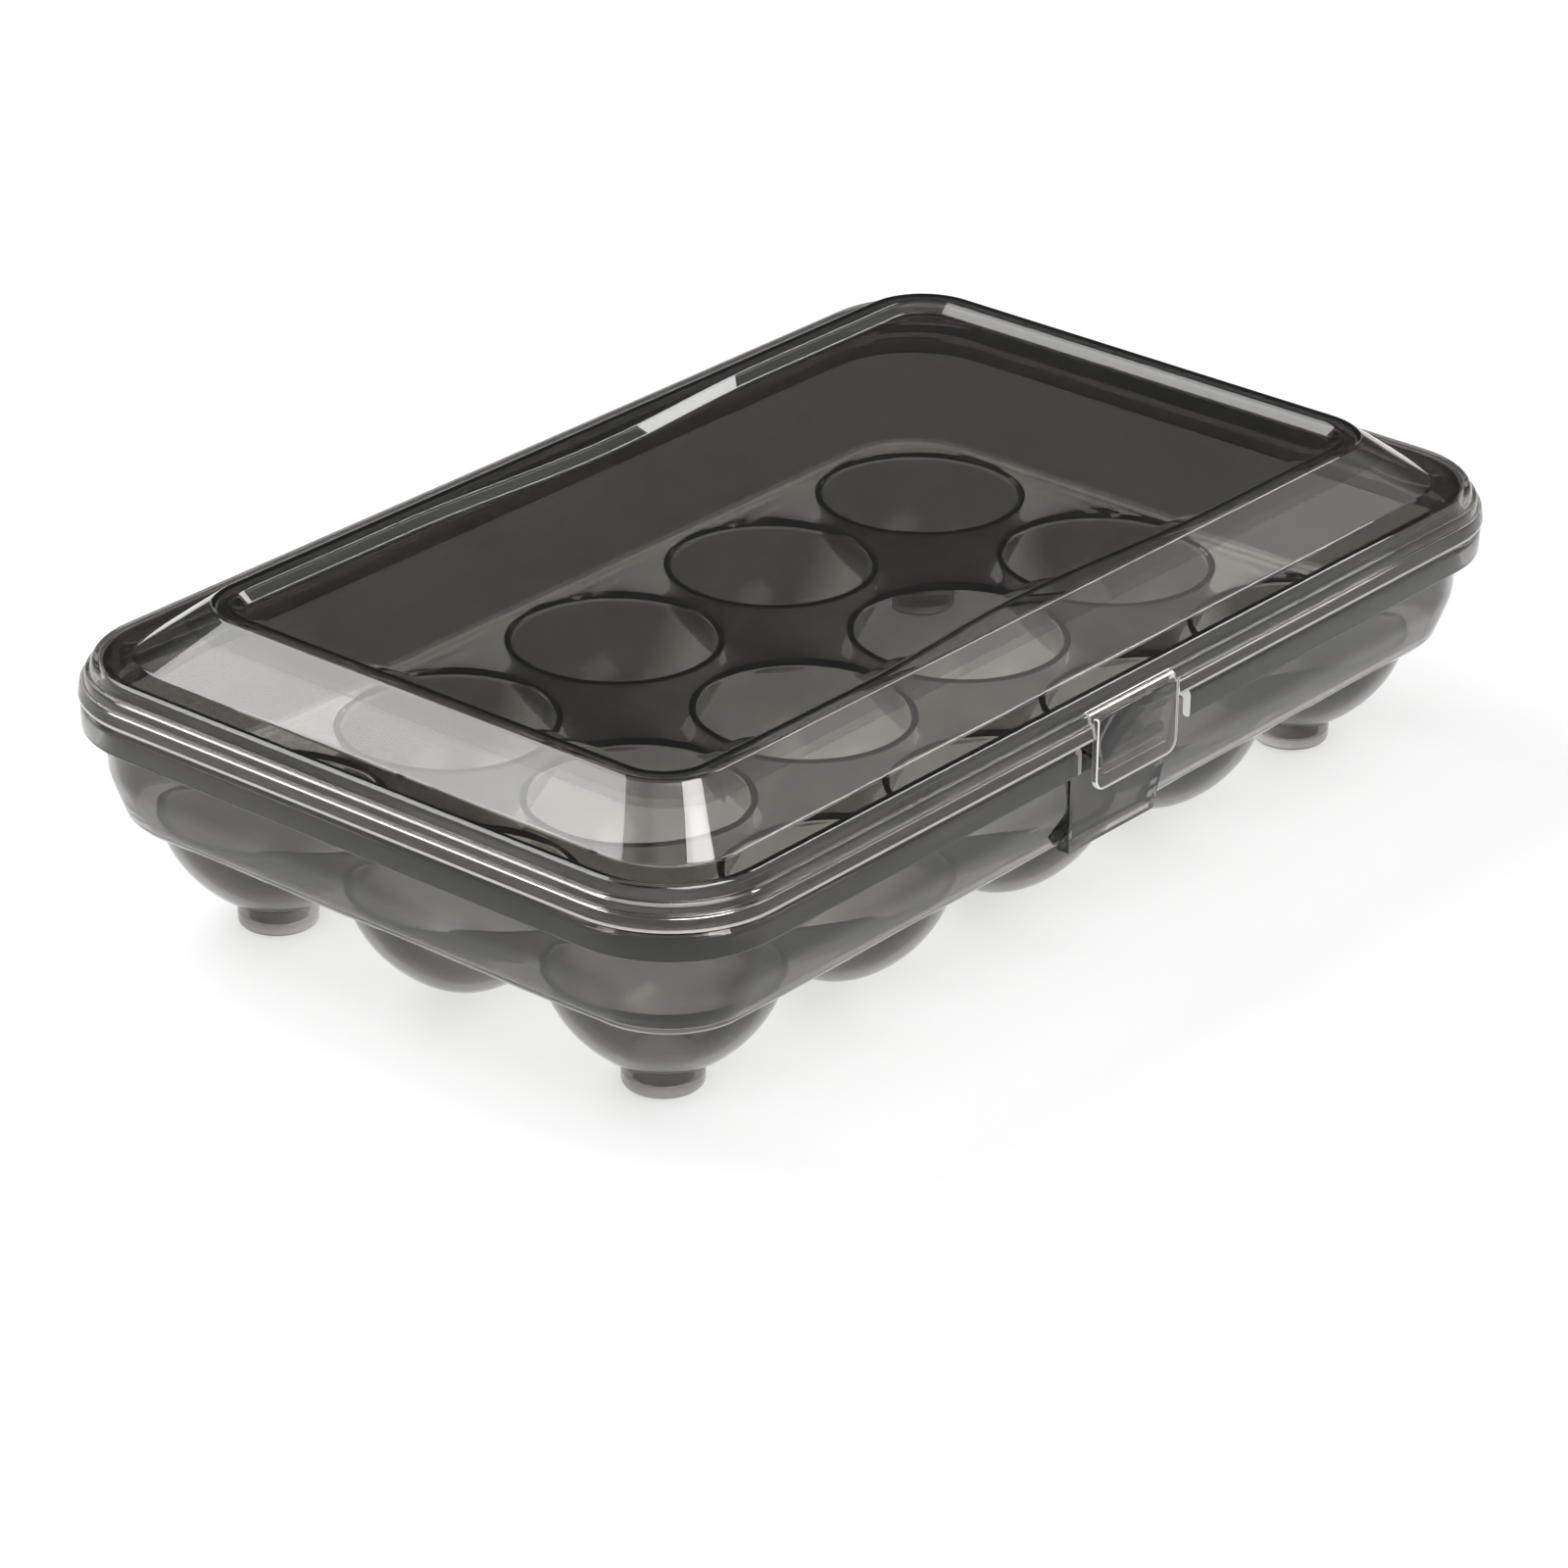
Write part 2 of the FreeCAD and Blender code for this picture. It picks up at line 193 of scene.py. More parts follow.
def add_outline(margin, corner, z, cuts=0):
    """Adds a rounded-rectangle loop: a plane at its size with its corners bevelled."""
    bpy.ops.mesh.select_all(action="DESELECT")
    bpy.ops.mesh.primitive_plane_add(size=2, location=(0, 0, z))
    bpy.ops.transform.resize(value=(AXIS_X + margin, AXIS_Y + margin, 1), center_override=(0, 0, z))
    bpy.ops.mesh.bevel(offset=corner, offset_type="OFFSET", segments=CORNER_STEPS, profile=0.5,
                       affect="VERTICES", clamp_overlap=False)
    bpy.ops.mesh.delete(type="ONLY_FACE")
    if cuts:
        half = AXIS_Y + margin
        select_points(lambda co: abs(co.z - z) < TOUCH and abs(abs(co.y) - half) < TOUCH)
        bpy.ops.mesh.subdivide(number_cuts=cuts)


def bridge_lifted(below):
    """Joins a loop in place to the one waiting overhead, then brings that one down."""
    select_points(either(below, is_overhead))
    bpy.ops.mesh.bridge_edge_loops()
    select_points(is_overhead)
    bpy.ops.transform.translate(value=(0, 0, -OVERHEAD))


def is_overhead(co):
    """Whether a point waits overhead."""
    return co.z > OVERHEAD / 2


def rounded(rows, steps=FILLET_STEPS):
    """Rounds a section's corners.  Each row is (margin, corner, z, fillet) in metres."""
    result = [rows[0][:3]]
    for before, here, after in zip(rows, rows[1:], rows[2:]):
        point = Vector((here[0], here[2]))
        back = Vector((before[0], before[2])) - point
        ahead = Vector((after[0], after[2])) - point
        fillet = here[3]
        turn = back.angle(ahead)
        reach = fillet / math.tan(turn / 2) if fillet else 0
        if reach < TOUCH:
            result.append(here[:3])
            continue
        reach = min(reach, 0.48 * back.length, 0.48 * ahead.length)
        fillet = reach * math.tan(turn / 2)
        middle = (back.normalized() + ahead.normalized()).normalized()
        centre = point + middle * (fillet / math.sin(turn / 2))
        start = point + back.normalized() * reach - centre
        sweep = start.angle_signed(point + ahead.normalized() * reach - centre)
        for step in range(steps + 1):
            angle = -sweep * step / steps
            spoke = Vector((start.x * math.cos(angle) - start.y * math.sin(angle),
                            start.x * math.sin(angle) + start.y * math.cos(angle)))
            place = centre + spoke
            result.append((place.x, here[1] + place.x - here[0], place.y))
    result.append(rows[-1][:3])
    return result


def loft(section, cuts=0):
    """Adds each outline of a section and bridges each to the next."""
    add_outline(*section[0], cuts=cuts)
    for before, (margin, corner, z) in zip(section, section[1:]):
        add_outline(margin, corner, z + OVERHEAD, cuts=cuts)
        bridge_lifted(on_outline(*before))


def make_active(piece):
    """Makes an object the only selected one and the active one."""
    bpy.ops.object.select_all(action="DESELECT")
    bpy.context.view_layer.objects.active = piece
    piece.select_set(True)


def apply_boolean(piece, other, operation):
    """Adds or cuts another closed solid, then removes it."""
    make_active(piece)
    modifier = piece.modifiers.new("cut", "BOOLEAN")
    modifier.object = other
    modifier.operation = operation
    modifier.solver = "EXACT"
    bpy.ops.object.modifier_apply(modifier=modifier.name)
    bpy.data.objects.remove(other, do_unlink=True)


def block(name, low, high):
    """A box between two corners, with its place in its mesh."""
    bpy.ops.object.select_all(action="DESELECT")
    low, high = Vector(low), Vector(high)
    bpy.ops.mesh.primitive_cube_add(size=1, location=(0, 0, 0))
    piece = bpy.context.active_object
    piece.name = name
    start_edit()
    bpy.ops.mesh.select_all(action="SELECT")
    bpy.ops.transform.resize(value=tuple(high - low), center_override=(0, 0, 0))
    bpy.ops.transform.translate(value=tuple((low + high) / 2))
    end_edit()
    return piece


def finish_shell(piece):
    """Merges doubles, turns faces outwards and smooths all but the sharp edges."""
    make_active(piece)
    start_edit()
    bpy.ops.mesh.select_all(action="SELECT")
    bpy.ops.mesh.remove_doubles(threshold=2 * TOUCH)
    bpy.ops.mesh.normals_make_consistent(inside=False)
    if bmesh.from_edit_mesh(piece.data).calc_volume(signed=True) < 0:
        bpy.ops.mesh.flip_normals()
    end_edit()
    bpy.ops.object.shade_smooth_by_angle(angle=SHARP_ANGLE)


# Tray

def cup_height(radius, mouth, depth):
    """Height of a cup's side at a distance from its axis, below the deck's underside."""
    share = max(0.0, 1 - (radius / mouth) ** CUP_ROUNDNESS)
    return DECK_BOTTOM - depth * share ** (1 / CUP_ROUNDNESS)


def cup_side(mouth, depth, floor_radius):
    """Circles (radius, z) down a cup's side to floor_radius."""
    lowest = math.acos((floor_radius / mouth) ** (CUP_ROUNDNESS / 2))
    circles = []
    for step in range(CUP_STEPS + 1):
        radius = mouth * math.cos(lowest * step / CUP_STEPS) ** (2 / CUP_ROUNDNESS)
        circles.append((radius, cup_height(radius, mouth, depth)))
    return circles


def quarter(radius_from, z_from, radius_to, z_to, across_first):
    """Circles along a quarter round between two (radius, z) places."""
    circles = []
    for step in range(1, FILLET_STEPS + 1):
        angle = math.pi / 2 * step / FILLET_STEPS
        s, c = math.sin(angle), 1 - math.cos(angle)
        a, b = (s, c) if across_first else (c, s)
        circles.append((radius_from + (radius_to - radius_from) * a, z_from + (z_to - z_from) * b))
    return circles


def add_circles(circles):
    """Adds a stack of circles, bridges them and closes the last with a fan."""
    bpy.ops.mesh.select_all(action="DESELECT")
    first_radius, first_z = circles[0]
    bpy.ops.mesh.primitive_circle_add(vertices=CUP_SIDES, radius=first_radius, location=(0, 0, first_z))
    for before, (radius, z) in zip(circles, circles[1:]):
        bpy.ops.mesh.select_all(action="DESELECT")
        bpy.ops.mesh.primitive_circle_add(vertices=CUP_SIDES, radius=radius, location=(0, 0, z + OVERHEAD))
        bridge_lifted(on_circle(*before))
    select_points(on_circle(*circles[-1]))
    bpy.ops.mesh.edge_face_add()
    bpy.ops.mesh.poke()


def cup_surfaces(name, with_foot):
    """Inside and outside of one cup on the Z axis, open at the deck's two faces."""
    lip, edge, floor = 1.2 * MM, 0.3 * MM, 1.5 * MM
    inner_radius = CUP_OUTER_RADIUS - TRAY_WALL
    depth = DECK_BOTTOM - CUP_BOTTOM
    inside = [(inner_radius + lip, DECK_TOP)]
    inside += quarter(inner_radius + lip, DECK_TOP, inner_radius, DECK_TOP - lip, True)
    outside = [(CUP_OUTER_RADIUS + edge, DECK_BOTTOM)]
    if with_foot:
        pocket = FOOT_RADIUS - TRAY_WALL
        round_off = 1.2 * MM
        inside += cup_side(inner_radius, depth - TRAY_WALL, pocket)
        inside.append((pocket, TRAY_WALL + round_off))
        inside += quarter(pocket, TRAY_WALL + round_off, pocket - round_off, TRAY_WALL, False)
        outside += cup_side(CUP_OUTER_RADIUS, depth, FOOT_RADIUS)
        outside.append((FOOT_RADIUS, round_off))
        outside += quarter(FOOT_RADIUS, round_off, FOOT_RADIUS - round_off, 0.0, False)
    else:
        inside += cup_side(inner_radius, depth - TRAY_WALL, floor)
        outside += cup_side(CUP_OUTER_RADIUS, depth, floor)
    piece = fresh_object(name)
    add_circles(inside)
    add_circles(outside)
    end_edit()
    return piece, inside[0][0], outside[0][0]


def tray_section():
    """Section of the tray from the deck's top, round the rim, to the deck's underside."""
    t = TRAY_WALL / MM
    deck, under = DECK_TOP / MM, DECK_BOTTOM / MM
    low, high, top = RIM_BOTTOM / MM, RIM_TOP / MM, UPSTAND_TOP / MM
    band, rim = BAND_BOTTOM / MM, RIM_MARGIN / MM
    waist = deck + 9.0
    rows = [
        (24.2, 16.2, deck, 0),
        (27.0 - t, 19.0 - t, deck, 0.9),
        (30.3 - t, 22.5 - t, waist, 12.0),
        (31.2 - t, 24.0 - t, low + 0.4, 0.6),
        (30.2 - t, 21.0 - t, low + 1.4, 0.6),
        (30.2 - t, 21.0 - t, top, 0.8),
        (30.2, 21.0, top, 0.8),
        (30.2, 21.0, high, 0.6),
        (rim, 25.4, high, 0.9),
        (rim, 25.4, band, 0.7),
        (rim - t, 25.4 - t, band, 0.7),
        (rim - t, 25.4 - t, low, 0.4),
        (31.2, 24.0, low, 0.5),
        (30.3, 22.5, waist, 14.0),
        (27.0, 19.0, deck, 2.5),
        (25.4, 18.0, under, 0.8),
        (24.4, 17.0, under, 0),
    ]
    return rounded([tuple(value * MM for value in row) for row in rows])


def catch_wedge(name, inset, inner_low, inner_high, floor, top):
    """Block whose outer face leans like the catch plate, an inset inside its faces."""
    piece = block(name, (-1, -1, floor), (1, 0, top))
    start_edit()
    ends = (
        (floor, CATCH_LOW_HALF, CATCH_LOW_MARGIN, inner_low),
        (top, CATCH_HALF, CATCH_MARGIN, inner_high),
    )
    for z, half, outer, inner in ends:
        select_points(lambda co: abs(co.z - z) < TOUCH)
        size = (half - inset, outer - inset - inner, 1)
        bpy.ops.transform.resize(value=size, center_override=(0, 0, z))
        bpy.ops.transform.translate(value=(0, -(AXIS_Y + inner), 0))
    end_edit()
    return piece


def add_catch(tray):
    """Bulges the wall under the rim at the front and adds the ridge."""
    outer = catch_wedge("catch", 0.0, 26.4 * MM, 30.7 * MM, DECK_BOTTOM, RIM_BOTTOM + 0.6 * MM)
    apply_boolean(tray, outer, "UNION")
    inner = catch_wedge("hollow", TRAY_WALL, 20.0 * MM, 26.0 * MM, DECK_TOP + TOUCH, RIM_BOTTOM - TOUCH)
    apply_boolean(tray, inner, "DIFFERENCE")
    low = (-CATCH_HALF, -(AXIS_Y + RIM_MARGIN + MM), BAND_BOTTOM - MM)
    high = (CATCH_HALF, -(AXIS_Y + CATCH_MARGIN + 0.05 * MM), RIM_TOP + MM)
    apply_boolean(tray, block("notch", low, high), "DIFFERENCE")
    low = (-RIDGE_HALF, -(AXIS_Y + 33.3 * MM), RIDGE_LOW)
    high = (RIDGE_HALF, -(AXIS_Y + 31.4 * MM), RIDGE_LOW + RIDGE_HEIGHT)
    apply_boolean(tray, block("ridge", low, high), "UNION")


def model_tray():
    """The whole tray moulding as one closed shell."""
    tray = fresh_object("tray_moulding")
    section = tray_section()
    loft(section)
    end_edit()
    plain, mouth, under = cup_surfaces("cup", False)
    footed, _, _ = cup_surfaces("cup_with_foot", True)
    cups = []
    for row in range(CUP_ROWS):
        for column in range(CUP_COLUMNS):
            corner = row in (0, CUP_ROWS - 1) and column in (0, CUP_COLUMNS - 1)
            place = (column * CUP_PITCH - AXIS_X, row * CUP_PITCH - AXIS_Y, 0)
            make_active(footed if corner else plain)
            bpy.ops.object.duplicate()
            cup = bpy.context.active_object
            start_edit()
            bpy.ops.mesh.select_all(action="SELECT")
            bpy.ops.transform.translate(value=place)
            end_edit()
            cups.append(cup)
    for source in (plain, footed):
        bpy.data.objects.remove(source, do_unlink=True)
    bpy.ops.object.select_all(action="DESELECT")
    for cup in cups:
        cup.select_set(True)
    tray.select_set(True)
    bpy.context.view_layer.objects.active = tray
    bpy.ops.object.join()
    start_edit()
    for z, outline, radius in ((DECK_TOP, section[0], mouth), (DECK_BOTTOM, section[-1], under)):
        def on_cup(co, z=z, radius=radius):
            if abs(co.z - z) > TOUCH:
                return False
            dx = (co.x + AXIS_X + CUP_PITCH / 2) % CUP_PITCH - CUP_PITCH / 2
            dy = (co.y + AXIS_Y + CUP_PITCH / 2) % CUP_PITCH - CUP_PITCH / 2
            return abs(math.hypot(dx, dy) - radius) < LOOP_TOUCH
        select_points(either(on_outline(*outline), on_cup))
        bpy.ops.mesh.fill(use_beauty=True)
    end_edit()
    finish_shell(tray)
    add_catch(tray)
    finish_shell(tray)
    return tray


# Lid

def lid_corner(margin):
    """Corner radius of the lid's outline at a margin, in millimetres."""
    anchors = [(6.0, 7.5), (13.0, 14.5), (24.6, 17.5), (32.1, 22.5), (35.3, 25.7)]
    for (m0, r0), (m1, r1) in zip(anchors, anchors[1:]):
        if margin <= m1:
            return r0 + (r1 - r0) * (margin - m0) / (m1 - m0)
    return anchors[-1][1] + margin - anchors[-1][0]


def lid_sections():
    """Sections of the recess, the outside and inside of the lid, and the panel's underside."""
    t = LID_WALL / MM
    crest, panel, under = CREST_TOP / MM, PANEL_TOP / MM, PANEL_BOTTOM / MM
    top, low = FLANGE_TOP / MM, FLANGE_BOTTOM / MM
    rim = RIM_TOP / MM
    first, second, third = rim + 0.4, rim + 3.9, rim + 6.0
    rows = [
        (3.6, panel, 0), (6.0, panel, 1.0), (8.6, crest, 0.9), (12.55, crest, 1.4),
        (24.6, top, 1.4), (32.1, top, 1.6), (32.6, third, 0.25), (33.5, third, 0.6),
        (33.8, second, 0.25), (34.6, second, 0.6), (35.3, first, 0.7), (35.3 - t, first, 0.5),
        (34.6 - t, second - t, 0.6), (33.8 - t, second - t, 0.5), (33.5 - t, third - t, 0.6),
        (32.6 - t, third - t, 0.5), (32.1 - t, low, 0.7), (24.0, low, 1.6), (11.4, crest - t, 1.0),
        (9.2, crest - t, 0.9), (6.6, under, 1.0), (3.6, under, 0),
    ]
    return rounded([tuple(v * MM for v in (m, lid_corner(m), z, fillet)) for m, z, fillet in rows])


def bow_depth(x):
    """How far the recess bows in at a distance along the long side."""
    if abs(x) > BOW_HALF_LENGTH:
        return 0.0
    return BOW_DEPTH * (1 + math.cos(math.pi * x / BOW_HALF_LENGTH)) / 2


def bow_recess():
    """Pulls the recess's long edges inwards, one column of points at a time."""
    inside = AXIS_Y + 10.6 * MM
    mesh = bmesh.from_edit_mesh(bpy.context.edit_object.data)
    columns = []
    for x in sorted(vertex.co.x for vertex in mesh.verts if bow_depth(vertex.co.x)):
        if not columns or x - columns[-1] > 2 * TOUCH:
            columns.append(x)
    for x in columns:
        for side in (-1, 1):
            select_points(lambda co: (-TOUCH / 2 < co.x - x <= 2 * TOUCH and 0 < side * co.y < inside
                                      and co.z > PANEL_BOTTOM - MM))
            bpy.ops.transform.translate(value=(0, -side * bow_depth(x), 0))


def model_lid():
    """The lid moulding without its tab, as one closed shell."""
    lid = fresh_object("lid_moulding")
    section = lid_sections()
    loft(section, cuts=SIDE_CUTS)
    for row in (section[0], section[-1]):
        select_points(on_outline(*row))
        bpy.ops.mesh.edge_face_add()
    bow_recess()
    end_edit()
    finish_shell(lid)
    slot_half = TAB_HALF + TAB_GAP
    low = (-slot_half, -(AXIS_Y + SKIRT_MARGIN + MM), RIM_TOP)
    high = (slot_half, -(AXIS_Y + 31 * MM), TAB_TOP + TAB_GAP)
    apply_boolean(lid, block("slot", low, high), "DIFFERENCE")
    finish_shell(lid)
    return lid


def model_tab():
    """The snap tab: a plate with rounded lower corners and a bead inside its tip."""
    outer = AXIS_Y + SKIRT_MARGIN
    tab = block("snap_tab", (-TAB_HALF, -outer, TAB_TIP), (TAB_HALF, -outer + LID_WALL, TAB_TOP))
    start_edit()
    bpy.ops.mesh.select_mode(type="EDGE")
    mesh = bmesh.from_edit_mesh(tab.data)
    for edge in mesh.edges:
        centre = (edge.verts[0].co + edge.verts[1].co) / 2
        edge.select_set(abs(abs(centre.x) - TAB_HALF) < TOUCH and abs(centre.z - TAB_TIP) < TOUCH)
    bmesh.update_edit_mesh(tab.data)
    bpy.ops.mesh.bevel(offset=3 * MM, segments=8, affect="EDGES")
    end_edit()
    bevel = tab.modifiers.new("edges", "BEVEL")
    bevel.width = 0.4 * MM
    bevel.segments = 3
    bevel.limit_method = "ANGLE"
    bevel.angle_limit = math.radians(40)
    bpy.ops.object.modifier_apply(modifier=bevel.name)
    inner = -outer + LID_WALL
    bead_top = RIDGE_LOW - TAB_GAP
    low = (-RIDGE_HALF, inner - 0.2 * MM, bead_top - BEAD_HEIGHT)
    high = (RIDGE_HALF, inner + 0.4 * MM, bead_top)
    apply_boolean(tab, block("bead", low, high), "UNION")
    finish_shell(tab)
    return tab


# Finishes, with painted light, shade and highlights

PLASTIC_IOR = 1.49
LAYER_SLACK = 50 * TOUCH      # keeps the faces of a layer inside it
TINT_FADE = 6 * MM            # half of the width over which one tint turns to the other
NO_MIDDLE = (-0.1, -0.1)      # a reach that no part of a moulding is within

def smoke_plastic(name, tint, painted_tint, layer, middle, looks):
    """Clear smoke-grey moulding: a surface tint, flow ripples, fine haze and darkening with depth.

    The painted tint, which paints light onto the tray's deck and cups and shade onto the lid's flat top,
    is for a layer, given by its lowest and highest z, and for the middle part, given by how far it reaches
    along x and y.
    """
    material = bpy.data.materials.new(name)
    material.use_nodes = True
    tree = material.node_tree
    tree.nodes.clear()
    link = tree.links.new

    def node(kind, **values):
        made = tree.nodes.new(kind)
        for key, value in values.items():
            made.inputs[key].default_value = value
        return made

    def calculate(operation, *operands):
        made = node("ShaderNodeMath")
        made.operation = operation
        for socket, operand in zip(made.inputs, operands):
            if isinstance(operand, float):
                socket.default_value = operand
            else:
                link(operand, socket)
        return made.outputs["Value"]

    def noise(scale, detail, place=None):
        made = node("ShaderNodeTexNoise", Scale=scale, Detail=detail)
        link(place or here, made.inputs["Vector"])
        return made.outputs["Fac"]

    here = node("ShaderNodeTexCoord").outputs["Object"]
    place = node("ShaderNodeSeparateXYZ")
    link(here, place.inputs["Vector"])
    low, high = layer
    # Mask of the painted tint: painted light on the tray's deck and cups, painted shade on the lid's flat
    # top and crest
    in_layer = calculate("COMPARE", place.outputs["Z"], (low + high) / 2, (high - low) / 2 + LAYER_SLACK)
    within = []
    for axis, reach in zip("XY", middle):
        near = node("ShaderNodeMapRange", **{"From Min": reach + TINT_FADE, "From Max": reach - TINT_FADE})
        link(calculate("ABSOLUTE", place.outputs[axis]), near.inputs["Value"])
        within.append(near.outputs["Result"])
    where_painted = calculate("MAXIMUM", in_layer, calculate("MULTIPLY", *within))
    colour = node("ShaderNodeMix")
    colour.data_type = "RGBA"
    colour.inputs["A"].default_value = (*tint, 1)
    colour.inputs["B"].default_value = (*painted_tint, 1)
    link(where_painted, colour.inputs["Factor"])
    cloud = node("ShaderNodeMapRange", **{"To Min": 0.92, "To Max": 1.08})
    link(noise(25.0, 4.0), cloud.inputs["Value"])
    clouded = node("ShaderNodeVectorMath")
    clouded.operation = "SCALE"
    link(colour.outputs["Result"], clouded.inputs[0])
    link(cloud.outputs["Result"], clouded.inputs["Scale"])

    flow = node("ShaderNodeMapping", Scale=(14, 14, 60))
    link(here, flow.inputs["Vector"])
    bump = node("ShaderNodeBump", Strength=looks.ripple, Distance=0.0006)
    link(noise(1.0, 2.0, flow.outputs["Vector"]), bump.inputs["Height"])
    haze = node("ShaderNodeMapRange", **{"To Min": looks.roughness * 0.5, "To Max": looks.roughness * 1.5})
    link(noise(60.0, 3.0), haze.inputs["Value"])

    plastic = node("ShaderNodeBsdfPrincipled", **{"IOR": PLASTIC_IOR, "Transmission Weight": 1.0})
    link(clouded.outputs["Vector"], plastic.inputs["Base Color"])
    link(haze.outputs["Result"], plastic.inputs["Roughness"])
    link(bump.outputs["Normal"], plastic.inputs["Normal"])
    path = node("ShaderNodeLightPath")
    soft_rays = calculate("MAXIMUM", path.outputs["Is Shadow Ray"], path.outputs["Is Diffuse Ray"])
    mix = node("ShaderNodeMixShader")
    link(soft_rays, mix.inputs["Fac"])
    link(plastic.outputs["BSDF"], mix.inputs[1])
    link(node("ShaderNodeBsdfTransparent").outputs["BSDF"], mix.inputs[2])
    depth = node("ShaderNodeVolumeAbsorption", Color=(*looks.depth_colour, 1), Density=looks.density)
    output = node("ShaderNodeOutputMaterial")
    link(mix.outputs["Shader"], output.inputs["Surface"])
    link(depth.outputs["Volume"], output.inputs["Volume"])
    return material


def edge_highlight_paint(looks):
    """Painted highlight for the thin edges of a clear moulding: an opaque pale finish put where the edges
    show as bright lines.
    """
    material = bpy.data.materials.new("painted_highlight_plastic")
    material.use_nodes = True
    tree = material.node_tree
    plastic = tree.nodes["Principled BSDF"]
    plastic.inputs["Roughness"].default_value = 0.25
    plastic.inputs["IOR"].default_value = PLASTIC_IOR
    coordinates = tree.nodes.new("ShaderNodeTexCoord")
    streaks = tree.nodes.new("ShaderNodeTexNoise")
    streaks.inputs["Scale"].default_value = 120.0
    # Streaky pale colour of the painted highlight
    tone = tree.nodes.new("ShaderNodeMix")
    tone.data_type = "RGBA"
    tone.inputs["A"].default_value = (*(0.75 * value for value in looks.edge_highlight_tint), 1)
    tone.inputs["B"].default_value = (*looks.edge_highlight_tint, 1)
    tree.links.new(coordinates.outputs["Object"], streaks.inputs["Vector"])
    tree.links.new(streaks.outputs["Fac"], tone.inputs["Factor"])
    tree.links.new(tone.outputs["Result"], plastic.inputs["Base Color"])
    return material


def paint_edge_highlights(piece, material, is_edge):
    """Gives the faces that pass the test the painted edge highlight."""
    piece.data.materials.append(material)
    for face in piece.data.polygons:
        if is_edge(face.center, face.normal):
            face.material_index = 1


def is_skirt_highlight(centre, normal):
    """Where highlights are painted: the underside of the skirt and the cheeks of the slot round the tab."""
    at_slot = abs(centre.x) < TAB_HALF + MM and centre.y < 0
    underside = normal.z < -0.15 and centre.z < SKIRT_BOTTOM + MM
    cheek = abs(normal.x) > 0.7 and centre.y < -AXIS_Y
    return cheek if at_slot else underside


def is_tab_highlight(centre, normal):
    """Where highlights are painted: the rounded edges of the tab's sides, and its tip."""
    return 0.2 < abs(normal.x) < 0.95 or normal.z < -0.2


def is_notch_highlight(centre, normal):
    """Where highlights are painted: the cheeks of the notch in the rim, beside the catch."""
    at_side = abs(abs(centre.x) - CATCH_HALF) < 0.5 * MM
    return at_side and abs(normal.x) > 0.7 and centre.z > BAND_BOTTOM - MM


def floor_finish(colour):
    """Plain pale matt floor with a very faint mottling."""
    material = bpy.data.materials.new("pale_floor")
    material.use_nodes = True
    tree = material.node_tree
    surface = tree.nodes["Principled BSDF"]
    surface.inputs["Roughness"].default_value = 0.9
    surface.inputs["Specular IOR Level"].default_value = 0.0
    noise = tree.nodes.new("ShaderNodeTexNoise")
    noise.inputs["Scale"].default_value = 3.0
    ramp = tree.nodes.new("ShaderNodeMapRange")
    ramp.inputs["To Min"].default_value = 0.99
    shade = tree.nodes.new("ShaderNodeMix")
    shade.data_type = "RGBA"
    shade.blend_type = "MULTIPLY"
    shade.inputs["Factor"].default_value = 1.0
    shade.inputs["A"].default_value = (*colour, 1)
    tree.links.new(noise.outputs["Fac"], ramp.inputs["Value"])
    tree.links.new(ramp.outputs["Result"], shade.inputs["B"])
    tree.links.new(shade.outputs["Result"], surface.inputs["Base Color"])
    return material


# Settings

class EggTrayPlastic(bpy.types.PropertyGroup):
    """Looks of the clear plastic."""
    tray_tint: FloatVectorProperty(
        name="Tray tint", description="Share of the light that one tray wall lets through",
        subtype="COLOR", default=(0.240, 0.234, 0.217), min=0, max=1)
    # Painted light: a lighter tint on the deck and the cups of the same moulding, brightening the spaces
    # between the cups
    deck_painted_light: FloatVectorProperty(
        name="Deck tint", description="Share of the light let through by the deck and the cups' inner sides",
        subtype="COLOR", default=(0.76, 0.75, 0.72), min=0, max=1)
    lid_tint: FloatVectorProperty(
        name="Lid tint", description="Share of the light that the lid's skirt and wall let through",
        subtype="COLOR", default=(0.480, 0.468, 0.438), min=0, max=1)
    # Painted shade: a darker tint on the lid's flat top and crest than on the rest of the same moulding
    panel_painted_shade: FloatVectorProperty(
        name="Panel tint", description="Share of the light that the lid's flat top lets through",
        subtype="COLOR", default=(0.270, 0.264, 0.246), min=0, max=1)
    depth_colour: FloatVectorProperty(
        name="Depth colour", description="Colour that thick edges tend to",
        subtype="COLOR", default=(0.30, 0.29, 0.27), min=0, max=1)
    density: FloatProperty(
        name="Density", description="How fast the plastic darkens with depth, per metre",
        default=90.0, min=0)
    # Colour of the highlights painted on the thin edges
    edge_highlight_tint: FloatVectorProperty(
        name="Edge tint", description="Colour of the thin glowing edges",
        subtype="COLOR", default=(0.90, 0.89, 0.86), min=0, max=1)
    roughness: FloatProperty(
        name="Roughness", description="Blur of the polished surface", default=0.006, min=0, max=1)
    ripple: FloatProperty(
        name="Flow ripple", description="Strength of the faint moulding ripples", default=0.02, min=0, max=1)


